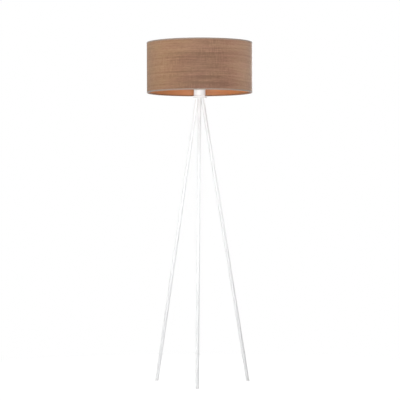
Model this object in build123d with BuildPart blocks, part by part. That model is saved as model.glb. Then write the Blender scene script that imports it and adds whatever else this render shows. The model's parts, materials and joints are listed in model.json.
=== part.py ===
from build123d import *

import os
from math import cos, radians, sin

# Tripod floor lamp with a drum shade, in millimetres.
# The origin is on the floor under the centre of the shade. +Z is up and -Y is the front.
# Three tube legs are bolted under a round plate. A cup on the plate hides the lamp holder,
# and the shade hangs on the holder between two threaded rings.

# Overall sizes
lamp_height = 1620.0
shade_diameter = 500.0
shade_height = 240.0
foot_circle_radius = 254.0

# Hub plate that the legs are bolted to
plate_diameter = 66.0
plate_thickness = 11.0
plate_drop = 14.0
plate_edge_radius = 1.0

# Legs
leg_diameter = 16.0
leg_wall = 1.2
leg_gap = 0.8
leg_names = ("front", "right", "left")
front_leg_azimuth = -90.0
insert_length = 25.0
insert_clearance = 0.05

# Low-head screws that run along the legs
bolt_diameter = 6.0
bolt_length = 22.0
bolt_head_diameter = 10.0
bolt_head_height = 4.0
bolt_seat = 4.5
bolt_key = 4.0
bolt_key_depth = 2.2
bolt_clearance = 0.3
thread_clearance = 0.05

# Moulded glides that plug the lower leg ends
glide_height = 18.0
glide_edge_radius = 1.0
glide_plug_length = 20.0
glide_plug_play = 1.2
glide_rib_count = 4
glide_rib_thickness = 1.5

# Cable entry through the middle of the plate
nipple_diameter = 10.0
nipple_wall = 1.0
nipple_grip = 9.0
nipple_chamfer = 0.3
bush_bore = 6.4
bush_clearance = 0.1
bush_flange_diameter = 10.6
bush_flange_thickness = 1.5
bush_stem_length = 10.5
bush_mouth_radius = 0.6
washer_diameter = 20.0
washer_thickness = 1.0
nut_across_flats = 14.0
nut_height = 4.0

# Cup that covers the lamp holder, on a narrower foot that leaves a shadow gap over the plate
cup_diameter = 55.0
cup_wall = 1.2
cup_base_radius = 1.5
cup_foot_inset = 12.0
cup_foot_height = 3.0
cup_hole_clearance = 0.3

# Lamp holder with an outer thread for the shade rings
holder_cap_diameter = 43.0
holder_cap_height = 20.0
holder_cap_floor = 10.0
holder_cap_boss_diameter = 24.0
holder_cap_shoulder = 8.0
holder_cap_wall = 3.0
holder_spigot_height = 5.0
holder_spigot_wall = 2.9
holder_thread_diameter = 39.5
holder_thread_length = 24.0
holder_thread_runout = 2.0
holder_bore = 33.0
holder_mouth_diameter = 30.0
holder_lip = 1.5
holder_chamfer = 0.5
holder_clearance = 0.2
block_base_height = 12.1
terminal_spacing = 18.0
terminal_screw_diameter = 3.0
terminal_screw_length = 6.0
terminal_head_diameter = 5.5
terminal_head_height = 2.0

# Rings that clamp the shade, with finger flutes round the edge
ring_diameter = 56.0
lower_ring_height = 6.0
upper_ring_height = 8.0
ring_flute_diameter = 4.0
ring_flute_count = 24
ring_edge_chamfer = 0.8
ring_play = 0.3

# Screw shell and spring contact of the socket
shell_wall = 0.4
shell_clearance = 0.25
shell_rim_gap = 2.0
shell_floor_hole = 16.0
contact_height = 3.0
contact_gap = 0.2
contact_width = 6.0
contact_thickness = 0.5
contact_foot = 7.0

# Bulb
bulb_cap_diameter = 26.4
bulb_cap_length = 22.0
bulb_cap_wall = 0.5
bulb_cap_edge_radius = 1.5
bulb_insulator_diameter = 20.4
bulb_insulator_height = 3.0
bulb_tip_diameter = 9.5
bulb_tip_height = 1.5
bulb_tip_edge_radius = 0.75
bulb_collar_gap = 1.0
bulb_diameter = 60.0
bulb_height = 82.0
bulb_housing_height = 36.0
bulb_rim_diameter = 56.0
bulb_collar_slope = 0.25
bulb_rim_slope = 0.45
bulb_globe_wall = 1.2
led_board_diameter = 46.0
led_board_thickness = 1.6
led_count = 12
led_size = 2.8
led_height = 0.7
led_edge_margin = 4.0

# Shade sheet, its seam and its edges
veneer_thickness = 0.6
lining_thickness = 0.5
glue_gap = 0.1
seam_width = 10.0
seam_azimuth = 90.0
binding_height = 6.0
binding_thickness = 0.4
binding_fold_radius = 1.0
wire_diameter = 4.0
wire_gap = 0.05

# Shade carrier of bent wire with a flat fitter washer
fitter_diameter = 62.0
fitter_thickness = 2.0
fitter_clearance = 0.5
arm_diameter = 4.0
arm_bend_radius = 14.0
arm_overlap = 1.5
arm_azimuths = (90.0, 210.0, 330.0)
weld_gap = 0.02

# Heights of the shade and the hub
shade_radius = shade_diameter / 2
shade_top = lamp_height
shade_bottom = lamp_height - shade_height
plate_top = shade_bottom - plate_drop
plate_bottom = plate_top - plate_thickness

# Heights up the lamp holder, from the cup's floor to the bulb
cup_floor = plate_top + cup_wall
nut_bottom = cup_floor + washer_thickness
cap_bottom = nut_bottom + nut_height
cap_rim = cap_bottom + holder_cap_height
spigot_top = cap_rim + holder_spigot_height
block_floor = spigot_top + block_base_height
tip_bottom = block_floor + contact_height + contact_gap
insulator_bottom = tip_bottom + bulb_tip_height
bulb_cap_bottom = insulator_bottom + bulb_insulator_height
bulb_collar = bulb_cap_bottom + bulb_cap_length
sleeve_top = bulb_collar - bulb_collar_gap
cup_top = sleeve_top - holder_thread_length
cup_height = cup_top - plate_top
fitter_bottom = cup_top + lower_ring_height
fitter_top = fitter_bottom + fitter_thickness

# Radii that several pieces share
nipple_radius = nipple_diameter / 2
leg_radius = leg_diameter / 2
leg_bore_radius = leg_radius - leg_wall
leg_circle_radius = bush_flange_diameter / 2 + leg_gap + leg_radius
shell_bore_radius = bulb_cap_diameter / 2 + shell_clearance
shell_radius = shell_bore_radius + shell_wall
block_radius = holder_bore / 2 - holder_clearance
spigot_radius = holder_cap_diameter / 2 - holder_cap_wall
lining_radius = shade_radius - veneer_thickness - glue_gap
lining_bore_radius = lining_radius - lining_thickness
wire_radius = wire_diameter / 2
wire_circle_radius = lining_bore_radius - wire_gap - wire_radius
hem_radius = wire_circle_radius - wire_radius - wire_gap - binding_thickness

# Line of one leg: from its centre on the plate's underside to its centre on the floor
leg_azimuths = [front_leg_azimuth + 360.0 / len(leg_names) * i for i in range(len(leg_names))]
leg_line = Vector(foot_circle_radius - leg_circle_radius, 0, -plate_bottom)
tube_length = leg_line.length - glide_height

os.makedirs("parts", exist_ok=True)


def write_piece(piece, name):
    """Labels a finished piece and writes it to its own file."""
    piece.part.label = name
    export_step(piece.part, f"parts/{name}.step")


def leg_plane(azimuth, distance):
    """Plane square to a leg, that far down it from the plate, with its normal down the leg."""
    outward = Vector(cos(radians(azimuth)), sin(radians(azimuth)), 0)
    sideways = Vector(-sin(radians(azimuth)), cos(radians(azimuth)), 0)
    down = (outward * leg_line.X + Vector(0, 0, leg_line.Z)).normalized()
    top = outward * leg_circle_radius + Vector(0, 0, plate_bottom)
    return Plane(origin=top + down * distance, x_dir=sideways, z_dir=down)


# Leg tubes: the top is mitred flush with the plate, the lower end is cut square
for leg_name, azimuth in zip(leg_names, leg_azimuths):
    with BuildPart() as leg_tube:
        with BuildSketch(leg_plane(azimuth, -leg_diameter)):
            Circle(leg_radius)
            Circle(leg_bore_radius, mode=Mode.SUBTRACT)
        extrude(amount=leg_diameter + tube_length)
        split(bisect_by=Plane.XY.offset(plate_bottom), keep=Keep.BOTTOM)
    write_piece(leg_tube, f"leg_tube_{leg_name}")

# Threaded plugs in the mitred leg ends
for leg_name, azimuth in zip(leg_names, leg_azimuths):
    with BuildPart() as leg_insert:
        with BuildSketch(leg_plane(azimuth, -leg_diameter)):
            Circle(leg_bore_radius - insert_clearance)
            Circle(bolt_diameter / 2 + thread_clearance, mode=Mode.SUBTRACT)
        extrude(amount=leg_diameter + insert_length)
        split(bisect_by=Plane.XY.offset(plate_bottom), keep=Keep.BOTTOM)
    write_piece(leg_insert, f"leg_insert_{leg_name}")

# Glides: the foot is level with the floor, and a ribbed plug grips the tube's bore
glide_rib_pitch = glide_plug_length / (glide_rib_count + 1)
for leg_name, azimuth in zip(leg_names, leg_azimuths):
    with BuildPart() as foot_glide:
        with BuildSketch(leg_plane(azimuth, tube_length)):
            Circle(leg_radius)
        extrude(amount=glide_height + leg_diameter)
        split(bisect_by=Plane.XY, keep=Keep.TOP)
        fillet(foot_glide.edges().group_by(Axis.Z)[0], glide_edge_radius)
        with BuildSketch(leg_plane(azimuth, tube_length)):
            Circle(leg_bore_radius - glide_plug_play)
        extrude(amount=-glide_plug_length)
        for rib in range(glide_rib_count):
            with BuildSketch(leg_plane(azimuth, tube_length - glide_rib_pitch * (rib + 1))):
                Circle(leg_bore_radius - insert_clearance)
            extrude(amount=glide_rib_thickness)
    write_piece(foot_glide, f"foot_glide_{leg_name}")

# Hub plate: a tapped hole in the middle, and a counterbored hole along the line of each leg
with BuildPart() as hub_plate:
    with BuildSketch(Plane.XY.offset(plate_bottom)):
        Circle(plate_diameter / 2)
        Circle(nipple_radius + thread_clearance, mode=Mode.SUBTRACT)
    extrude(amount=plate_thickness)
    rim_edges = hub_plate.edges().filter_by(GeomType.CIRCLE).group_by(SortBy.RADIUS)[-1]
    fillet(rim_edges, plate_edge_radius)
    for azimuth in leg_azimuths:
        with BuildSketch(leg_plane(azimuth, plate_thickness)):
            Circle(bolt_diameter / 2 + bolt_clearance)
        extrude(amount=-3 * plate_thickness, mode=Mode.SUBTRACT)
        with BuildSketch(leg_plane(azimuth, -bolt_seat)):
            Circle(bolt_head_diameter / 2 + bolt_clearance)
        extrude(amount=-2 * plate_thickness, mode=Mode.SUBTRACT)
write_piece(hub_plate, "hub_plate")

# Leg screws, with their heads sunk in the plate
with BuildPart() as leg_bolts:
    for azimuth in leg_azimuths:
        with BuildSketch(leg_plane(azimuth, -bolt_seat)):
            Circle(bolt_head_diameter / 2)
        extrude(amount=-bolt_head_height)
        with BuildSketch(leg_plane(azimuth, -bolt_seat)):
            Circle(bolt_diameter / 2)
        extrude(amount=bolt_length)
        with BuildSketch(leg_plane(azimuth, -bolt_seat - bolt_head_height)):
            RegularPolygon(bolt_key / 2, 6, major_radius=False)
        extrude(amount=bolt_key_depth, mode=Mode.SUBTRACT)
write_piece(leg_bolts, "leg_bolts")

# Threaded tube that holds the cup and the lamp holder on the plate, and lets the cable in
with BuildPart() as nipple:
    with BuildSketch(Plane.XY.offset(plate_bottom)):
        Circle(nipple_radius)
        Circle(nipple_radius - nipple_wall, mode=Mode.SUBTRACT)
    extrude(amount=cap_bottom + nipple_grip - plate_bottom)
    chamfer(nipple.edges().filter_by(GeomType.CIRCLE).group_by(SortBy.RADIUS)[-1], nipple_chamfer)
write_piece(nipple, "threaded_nipple")

# Cable bush in the lower end of the threaded tube
with BuildPart() as cable_bush:
    with BuildSketch(Plane.XY.offset(plate_bottom - bush_flange_thickness)):
        Circle(bush_flange_diameter / 2)
        Circle(bush_bore / 2, mode=Mode.SUBTRACT)
    extrude(amount=bush_flange_thickness)
    with BuildSketch(Plane.XY.offset(plate_bottom)):
        Circle(nipple_radius - nipple_wall - bush_clearance)
        Circle(bush_bore / 2, mode=Mode.SUBTRACT)
    extrude(amount=bush_stem_length)
    fillet(cable_bush.edges().group_by(Axis.Z)[0], bush_mouth_radius)
write_piece(cable_bush, "cable_bush")

# Washer and lock nut that clamp the cup's floor
with BuildPart() as cup_washer:
    with BuildSketch(Plane.XY.offset(cup_floor)):
        Circle(washer_diameter / 2)
        Circle(nipple_radius + cup_hole_clearance, mode=Mode.SUBTRACT)
    extrude(amount=washer_thickness)
write_piece(cup_washer, "cup_washer")

with BuildPart() as lock_nut:
    with BuildSketch(Plane.XY.offset(nut_bottom)):
        RegularPolygon(nut_across_flats / 2, 6, major_radius=False)
        Circle(nipple_radius + thread_clearance, mode=Mode.SUBTRACT)
    extrude(amount=nut_height)
write_piece(lock_nut, "lock_nut")

# Drawn cup that stands on the plate round the lamp holder, with a stepped foot
with BuildPart() as holder_cup:
    with BuildSketch(Plane.XY.offset(plate_top)):
        Circle(cup_diameter / 2 - cup_foot_inset)
    extrude(amount=cup_foot_height)
    with BuildSketch(Plane.XY.offset(plate_top + cup_foot_height)):
        Circle(cup_diameter / 2)
    extrude(amount=cup_height - cup_foot_height)
    wide_edges = holder_cup.edges().filter_by(GeomType.CIRCLE).group_by(SortBy.RADIUS)[-1]
    fillet(wide_edges.sort_by(Axis.Z)[0], cup_base_radius)
    offset(amount=-cup_wall, openings=holder_cup.faces().sort_by(Axis.Z)[-1])
    with BuildSketch(Plane.XY.offset(plate_top)):
        Circle(nipple_radius + cup_hole_clearance)
    extrude(amount=cup_wall, mode=Mode.SUBTRACT)
write_piece(holder_cup, "holder_cup")

# Lower half of the lamp holder: a domed cap with a threaded boss and a spigot for the sleeve
with BuildPart() as holder_cap:
    with BuildSketch(Plane.XZ):
        with BuildLine():
            shoulder = cap_rim - holder_cap_shoulder
            boss = (holder_cap_boss_diameter / 2, cap_bottom)
            dome = RadiusArc(boss, (holder_cap_diameter / 2, shoulder), -holder_cap_diameter / 2)
            Polyline(
                dome @ 1,
                (holder_cap_diameter / 2, cap_rim),
                (spigot_radius, cap_rim),
                (spigot_radius, spigot_top),
                (spigot_radius - holder_spigot_wall, spigot_top),
                (spigot_radius - holder_spigot_wall, cap_rim - holder_cap_wall),
                (holder_cap_boss_diameter / 2 - holder_cap_wall, cap_bottom + holder_cap_floor),
                (nipple_radius + thread_clearance, cap_bottom + holder_cap_floor),
                (nipple_radius + thread_clearance, cap_bottom),
                boss,
            )
        make_face()
    revolve(axis=Axis.Z)
write_piece(holder_cap, "holder_cap")

# Upper half of the lamp holder: a sleeve with the thread for the shade rings
with BuildPart() as holder_sleeve:
    with BuildSketch(Plane.XZ):
        with BuildLine():
            skirt_top = cup_top - holder_thread_runout
            Polyline(
                (holder_cap_diameter / 2, cap_rim),
                (holder_cap_diameter / 2, skirt_top),
                (holder_thread_diameter / 2, skirt_top),
                (holder_thread_diameter / 2, sleeve_top),
                (holder_mouth_diameter / 2, sleeve_top),
                (holder_mouth_diameter / 2, sleeve_top - holder_lip),
                (holder_bore / 2, sleeve_top - holder_lip),
                (holder_bore / 2, spigot_top + holder_clearance),
                (spigot_radius + holder_clearance, spigot_top + holder_clearance),
                (spigot_radius + holder_clearance, cap_rim),
                close=True,
            )
        make_face()
    revolve(axis=Axis.Z)
    top_edges = holder_sleeve.edges().filter_by(GeomType.CIRCLE).group_by(Axis.Z)[-1]
    chamfer(top_edges, holder_chamfer)
write_piece(holder_sleeve, "holder_sleeve")

# Ceramic block that carries the screw shell and the terminals
with BuildPart() as contact_block:
    with BuildSketch(Plane.XY.offset(spigot_top)):
        Circle(block_radius)
    extrude(amount=sleeve_top - holder_lip - holder_clearance - spigot_top)
    with BuildSketch(Plane.XY.offset(block_floor)):
        Circle(shell_radius + holder_clearance)
    extrude(amount=sleeve_top - block_floor, mode=Mode.SUBTRACT)
    with BuildSketch(Plane.XY.offset(spigot_top)):
        with GridLocations(terminal_spacing, 0, 2, 1):
            Circle(terminal_screw_diameter / 2 + thread_clearance)
    extrude(amount=terminal_screw_length + holder_clearance, mode=Mode.SUBTRACT)
write_piece(contact_block, "contact_block")

with BuildPart() as terminal_screws:
    with BuildSketch(Plane.XY.offset(spigot_top)):
        with GridLocations(terminal_spacing, 0, 2, 1):
            Circle(terminal_screw_diameter / 2)
    extrude(amount=terminal_screw_length)
    with BuildSketch(Plane.XY.offset(spigot_top)):
        with GridLocations(terminal_spacing, 0, 2, 1):
            Circle(terminal_head_diameter / 2)
    extrude(amount=-terminal_head_height)
write_piece(terminal_screws, "terminal_screws")

# Screw shell of the socket
with BuildPart() as screw_shell:
    with BuildSketch(Plane.XY.offset(block_floor)):
        Circle(shell_radius)
    extrude(amount=sleeve_top - shell_rim_gap - block_floor)
    offset(amount=-shell_wall, openings=screw_shell.faces().sort_by(Axis.Z)[-1])
    with BuildSketch(Plane.XY.offset(block_floor)):
        Circle(shell_floor_hole / 2)
    extrude(amount=shell_wall, mode=Mode.SUBTRACT)
write_piece(screw_shell, "screw_shell")

# Spring tongue under the bulb's tip
with BuildPart() as centre_contact:
    with BuildSketch(Plane.XZ.offset(-contact_width / 2)):
        with BuildLine() as tongue:
            FilletPolyline(
                (contact_foot, block_floor + contact_thickness / 2),
                (-contact_foot / 2, block_floor + contact_thickness / 2),
                (-contact_foot / 4, tip_bottom - contact_gap - contact_thickness / 2),
                (contact_foot / 2, tip_bottom - contact_gap - contact_thickness / 2),
                radius=contact_thickness,
            )
        trace(line_width=contact_thickness)
    extrude(amount=contact_width)
write_piece(centre_contact, "centre_contact")

# Shade rings: the lower one closes the cup, the upper one holds the fitter washer down
clamp_rings = {
    "lower_shade_ring": (cup_top, lower_ring_height),
    "upper_shade_ring": (fitter_top + ring_play, upper_ring_height),
}
for ring_name, (ring_bottom, ring_height) in clamp_rings.items():
    with BuildPart() as shade_ring:
        with BuildSketch(Plane.XY.offset(ring_bottom)):
            Circle(ring_diameter / 2)
            Circle(holder_thread_diameter / 2 + thread_clearance, mode=Mode.SUBTRACT)
        extrude(amount=ring_height)
        outer_edges = shade_ring.edges().filter_by(GeomType.CIRCLE).group_by(SortBy.RADIUS)[-1]
        chamfer(outer_edges, ring_edge_chamfer)
        with BuildSketch(Plane.XY.offset(ring_bottom)):
            with PolarLocations(ring_diameter / 2 + ring_flute_diameter / 4, ring_flute_count):
                Circle(ring_flute_diameter / 2)
        extrude(amount=ring_height, mode=Mode.SUBTRACT)
    write_piece(shade_ring, ring_name)

# Bulb: tip, insulator, screw cap, housing, light-emitting board and globe
with BuildPart() as bulb_tip:
    with BuildSketch(Plane.XY.offset(tip_bottom)):
        Circle(bulb_tip_diameter / 2)
    extrude(amount=bulb_tip_height)
    fillet(bulb_tip.edges().group_by(Axis.Z)[0], bulb_tip_edge_radius)
write_piece(bulb_tip, "bulb_tip")

with BuildPart() as bulb_insulator:
    with BuildSketch(Plane.XY.offset(insulator_bottom)):
        Circle(bulb_tip_diameter / 2)
    with BuildSketch(Plane.XY.offset(bulb_cap_bottom)):
        Circle(bulb_insulator_diameter / 2)
    loft()
write_piece(bulb_insulator, "bulb_insulator")

with BuildPart() as bulb_cap:
    with BuildSketch(Plane.XY.offset(bulb_cap_bottom)):
        Circle(bulb_cap_diameter / 2)
    extrude(amount=bulb_cap_length)
    fillet(bulb_cap.edges().group_by(Axis.Z)[0], bulb_cap_edge_radius)
    offset(amount=-bulb_cap_wall, openings=bulb_cap.faces().sort_by(Axis.Z)[-1])
write_piece(bulb_cap, "bulb_cap")

housing_top = bulb_collar + bulb_housing_height
with BuildPart() as bulb_housing:
    with BuildSketch(Plane.XZ):
        with BuildLine():
            collar = (bulb_cap_diameter / 2, bulb_collar)
            rim = (bulb_rim_diameter / 2, housing_top)
            Line((0, bulb_collar), collar)
            Spline(collar, rim, tangents=((bulb_collar_slope, 1), (bulb_rim_slope, 1)))
            Line(rim, (0, housing_top))
            Line((0, housing_top), (0, bulb_collar))
        make_face()
    revolve(axis=Axis.Z)
write_piece(bulb_housing, "bulb_housing")

with BuildPart() as led_board:
    with BuildSketch(Plane.XY.offset(housing_top)):
        Circle(led_board_diameter / 2)
    extrude(amount=led_board_thickness)
    with BuildSketch(Plane.XY.offset(housing_top + led_board_thickness)):
        with PolarLocations(led_board_diameter / 2 - led_edge_margin, led_count):
            Rectangle(led_size, led_size)
    extrude(amount=led_height)
write_piece(led_board, "led_board")

# The globe is a part of a sphere that widens from the housing's rim and closes at the crown
globe_radius = bulb_diameter / 2
globe_centre = bulb_collar + bulb_height - globe_radius
with BuildPart() as bulb_globe:
    with BuildSketch(Plane.XZ):
        with BuildLine():
            crown = (0, globe_centre + globe_radius)
            widest = (globe_radius, globe_centre)
            seat = (bulb_rim_diameter / 2, housing_top)
            inner_seat = (bulb_rim_diameter / 2 - bulb_globe_wall, housing_top)
            inner_crown = (0, globe_centre + globe_radius - bulb_globe_wall)
            inner_widest = (globe_radius - bulb_globe_wall, globe_centre)
            RadiusArc(crown, widest, globe_radius)
            Spline(widest, seat, tangents=((0, -1), (-bulb_rim_slope, -1)))
            Line(seat, inner_seat)
            Spline(inner_seat, inner_widest, tangents=((bulb_rim_slope, 1), (0, 1)))
            RadiusArc(inner_widest, inner_crown, -globe_radius + bulb_globe_wall)
            Line(inner_crown, crown)
        make_face()
    revolve(axis=Axis.Z)
write_piece(bulb_globe, "bulb_globe")

# Shade sheet: wood veneer outside with an overlapped seam at the back, plastic lining inside
sheet_inset = binding_fold_radius + binding_thickness / 2
sheet_bottom = shade_bottom + sheet_inset
sheet_height = shade_height - 2 * sheet_inset
with BuildPart() as shade_veneer:
    with BuildSketch(Plane.XY.offset(sheet_bottom)):
        Circle(shade_radius)
        Circle(shade_radius - veneer_thickness, mode=Mode.SUBTRACT)
    extrude(amount=sheet_height)
    with BuildSketch(Plane.XY.offset(shade_bottom + binding_height)):
        Circle(shade_radius + veneer_thickness)
        Circle(shade_radius - veneer_thickness / 2, mode=Mode.SUBTRACT)
        with PolarLocations(shade_radius, 1, start_angle=seam_azimuth):
            Rectangle(shade_radius, seam_width, mode=Mode.INTERSECT)
    extrude(amount=shade_height - 2 * binding_height)
write_piece(shade_veneer, "shade_veneer")

with BuildPart() as shade_lining:
    with BuildSketch(Plane.XY.offset(sheet_bottom)):
        Circle(lining_radius)
        Circle(lining_bore_radius, mode=Mode.SUBTRACT)
    extrude(amount=sheet_height)
write_piece(shade_lining, "shade_lining")

# Wire rings inside the two edges of the shade
wire_inset = binding_thickness + wire_gap + wire_radius
wire_heights = {"bottom": shade_bottom + wire_inset, "top": shade_top - wire_inset}
for edge_name, wire_height in wire_heights.items():
    with BuildPart() as wire_ring:
        with Locations((0, 0, wire_height)):
            Torus(wire_circle_radius, wire_radius)
    write_piece(wire_ring, f"{edge_name}_wire_ring")

# Binding strips folded round the sheet and the wire at both edges, drawn along their mid-line
fold_outer = shade_radius + binding_thickness / 2
fold_inner = hem_radius + binding_thickness / 2
fold_floor = binding_thickness / 2
edge_planes = {
    "bottom": Plane((0, 0, shade_bottom), x_dir=(1, 0, 0), z_dir=(0, -1, 0)),
    "top": Plane((0, 0, shade_top), x_dir=(1, 0, 0), z_dir=(0, 1, 0)),
}
for edge_name, edge_plane in edge_planes.items():
    with BuildPart() as binding:
        with BuildSketch(edge_plane):
            with BuildLine():
                FilletPolyline(
                    (fold_outer, binding_height),
                    (fold_outer, fold_floor),
                    (fold_inner, fold_floor),
                    (fold_inner, binding_height),
                    radius=binding_fold_radius,
                )
            trace(line_width=binding_thickness)
        revolve(axis=Axis.Z)
    write_piece(binding, f"{edge_name}_binding")

# Shade carrier: the fitter washer and three drop arms, welded to the bottom wire ring
with BuildPart() as shade_carrier:
    with BuildSketch(Plane.XY.offset(fitter_bottom)):
        Circle(fitter_diameter / 2)
        Circle(holder_thread_diameter / 2 + fitter_clearance, mode=Mode.SUBTRACT)
    extrude(amount=fitter_thickness)
    arm_height = fitter_bottom + fitter_thickness / 2
    arm_start = fitter_diameter / 2 - arm_overlap
    for azimuth in arm_azimuths:
        outward = Vector(cos(radians(azimuth)), sin(radians(azimuth)), 0)
        arm_plane = Plane(origin=(0, 0, 0), x_dir=outward, z_dir=outward.cross(Vector(0, 0, 1)))
        with BuildLine(arm_plane):
            FilletPolyline(
                (arm_start, arm_height),
                (wire_circle_radius, arm_height),
                (wire_circle_radius, wire_heights["bottom"]),
                radius=arm_bend_radius,
            )
        with BuildSketch(Plane(origin=outward * arm_start + Vector(0, 0, arm_height), z_dir=outward)):
            Circle(arm_diameter / 2)
        sweep()
    with Locations((0, 0, wire_heights["bottom"])):
        Torus(wire_circle_radius, wire_radius + weld_gap, mode=Mode.SUBTRACT)
write_piece(shade_carrier, "shade_carrier")
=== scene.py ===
# %% [markdown]
# # A tripod floor lamp
# This lesson dresses the CAD model of a floor lamp: three slim white legs, a small white hub, and a wide drum shade of
# wood veneer. The CAD model comes in first as a fixed frame. Every piece made here goes where that frame says, rides on
# one of its bodies, and takes its finish from one of its material slots.

# %% Load the frame
import json
from math import atan2, cos, pi, radians, sin, tau

import bmesh
import bpy
from mathutils import Matrix, Vector
from mathutils.geometry import interpolate_bezier


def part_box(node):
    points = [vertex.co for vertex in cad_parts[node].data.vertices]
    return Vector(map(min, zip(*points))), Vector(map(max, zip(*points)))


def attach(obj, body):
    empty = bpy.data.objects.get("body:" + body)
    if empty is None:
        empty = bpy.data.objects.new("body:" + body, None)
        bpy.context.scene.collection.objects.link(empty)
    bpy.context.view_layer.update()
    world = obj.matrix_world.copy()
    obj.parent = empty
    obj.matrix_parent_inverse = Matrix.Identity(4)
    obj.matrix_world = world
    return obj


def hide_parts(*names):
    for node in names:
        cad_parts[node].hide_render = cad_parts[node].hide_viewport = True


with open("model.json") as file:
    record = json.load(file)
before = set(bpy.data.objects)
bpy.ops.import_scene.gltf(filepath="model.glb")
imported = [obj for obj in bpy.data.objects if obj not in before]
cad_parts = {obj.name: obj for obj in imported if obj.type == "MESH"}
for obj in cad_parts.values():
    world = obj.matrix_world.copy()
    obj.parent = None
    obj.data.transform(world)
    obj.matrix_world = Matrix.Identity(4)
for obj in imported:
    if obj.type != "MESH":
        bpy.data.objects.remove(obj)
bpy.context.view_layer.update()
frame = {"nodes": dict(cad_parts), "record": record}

scene = bpy.context.scene
record = frame["record"]

# %% [markdown]
# ## Sizes from the frame
# A box round a CAD node gives most sizes: where the hub's plate ends, how wide the shade is, where the legs stand. Sizes
# that are read from the frame stay right when the CAD changes. The rest are named values in millimetres, turned into
# metres, which is Blender's unit.

# %% Main sizes
mm = 0.001


def round_box(node):
    """Gives the radius, the bottom and the top of a round CAD node."""
    low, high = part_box(node)
    return (high.x - low.x) / 2, low.z, high.z


plate_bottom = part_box("hub_plate")[0].z
sheet_radius, shade_bottom, shade_top = round_box("shade_veneer")
shade_radius = round(sheet_radius, 3)
foot_points = {
    mount["name"].split("_")[0]: Vector(mount["pos_m"])
    for mount in record["mounts"]
    if mount["kind"] == "flat_face"
}
print("shade radius", shade_radius, "from", round(shade_bottom, 4), "to", round(shade_top, 4))
print("feet at", {side: tuple(round(value, 3) for value in point) for side, point in foot_points.items()})

# %% [markdown]
# ## Helpers for the finishes
# A finish is a material whose nodes draw its colour, its roughness and its fine relief. Small helpers keep the node
# code short: one adds a node and fills its sockets, one makes noise with a given number of grains per metre, and one
# turns noise into a colour. They find the node tree through the socket that they are given, as its id_data. Noise on
# Object coordinates stays on the piece when the piece moves.

# %% Finish helpers
finishes = {}


def add_node(tree, kind, inputs, **settings):
    """Adds a shader node, sets its options, and fills its sockets with values or links."""
    node = tree.nodes.new("ShaderNode" + kind)
    for key, value in settings.items():
        setattr(node, key, value)
    for key, value in inputs.items():
        if isinstance(value, bpy.types.NodeSocket):
            tree.links.new(value, node.inputs[key])
        else:
            node.inputs[key].default_value = value
    return node


def start_finish(slot, **sockets):
    """Starts the finish of a record slot: a material with the values that are the same all over it."""
    finish = bpy.data.materials.new(slot)
    finish.use_nodes = True
    shader = finish.node_tree.nodes["Principled BSDF"]
    for name, value in sockets.items():
        shader.inputs[name.replace("_", " ")].default_value = value
    finishes[slot] = finish
    return finish.node_tree, shader


def object_place(tree):
    """Gives the Object coordinates, in metres, of the surface."""
    return add_node(tree, "TexCoord", {}).outputs["Object"]


def grains(place, per_metre, detail=2, rough=0.5):
    """Gives noise with so many grains per metre: one number, or one each for x, y and z."""
    scale = per_metre if isinstance(per_metre, tuple) else (per_metre,) * 3
    tree = place.id_data
    spot = add_node(tree, "Mapping", {"Vector": place, "Scale": scale})
    noise = {"Vector": spot.outputs["Vector"], "Scale": 1.0, "Detail": detail, "Roughness": rough}
    return add_node(tree, "TexNoise", noise).outputs["Fac"]


def spread(amount, low, high, start=0.3, stop=0.7):
    """Spreads the useful part of a noise, from start to stop, over low to high."""
    sockets = {"Value": amount, "From Min": start, "From Max": stop, "To Min": low, "To Max": high}
    return add_node(amount.id_data, "MapRange", sockets, interpolation_type="SMOOTHSTEP").outputs["Result"]


def tint(amount, *stops):
    """Turns an amount into a colour through stops of (position, colour)."""
    ramp = add_node(amount.id_data, "ValToRGB", {"Fac": amount})
    while len(ramp.color_ramp.elements) < len(stops):
        ramp.color_ramp.elements.new(0.5)
    for element, (position, colour) in zip(ramp.color_ramp.elements, stops):
        element.position = position
        element.color = (*colour, 1.0)
    return ramp.outputs["Color"]


def join(operation, first, second):
    """Joins two amounts by a sum, a product or another Math operation."""
    return add_node(first.id_data, "Math", {0: first, 1: second}, operation=operation).outputs["Value"]


def paint(shader, **links):
    """Links drawn values to the shader's sockets."""
    for name, value in links.items():
        shader.id_data.links.new(value, shader.inputs[name.replace("_", " ")])


def relief(shader, height, depth):
    """Raises the surface by a height pattern, in the shading only, to a depth in metres."""
    bump = add_node(shader.id_data, "Bump", {"Height": height, "Distance": depth, "Strength": 1.0})
    paint(shader, Normal=bump.outputs["Normal"])


print("finish helpers ready")

# %% [markdown]
# ## Helpers for the shapes
# Most of a lamp is turned, drawn or rolled, so most pieces are an outline that is spun once round the axis. The outline
# is a wire of a few corners. Rounding a corner of the wire before the spin costs a few vertices, and the spin then
# carries the round all the way round. A last helper turns a finished bmesh into a piece of the lamp: smooth where it
# bends gently, sharp at real edges, riding on a body, and standing for the CAD node that it replaces.

# %% Shape helpers
axis_point = (0, 0, 0)
upright = (0, 0, 1)
merge_reach = 0.002 * mm
crease = radians(32)


def edges_of(made):
    """Gives the edges among what an operator made."""
    return [item for item in made if isinstance(item, bmesh.types.BMEdge)]


def verts_of(made):
    """Gives the points among what an operator made."""
    return [item for item in made if isinstance(item, bmesh.types.BMVert)]


def ends_of(edges):
    """Gives the points at the ends of edges, each once and in order."""
    return list(dict.fromkeys(vert for edge in edges for vert in edge.verts))


def edges_at(verts):
    """Gives the edges that meet at points, each once and in order."""
    return list(dict.fromkeys(edge for vert in verts for edge in vert.link_edges))


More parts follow.
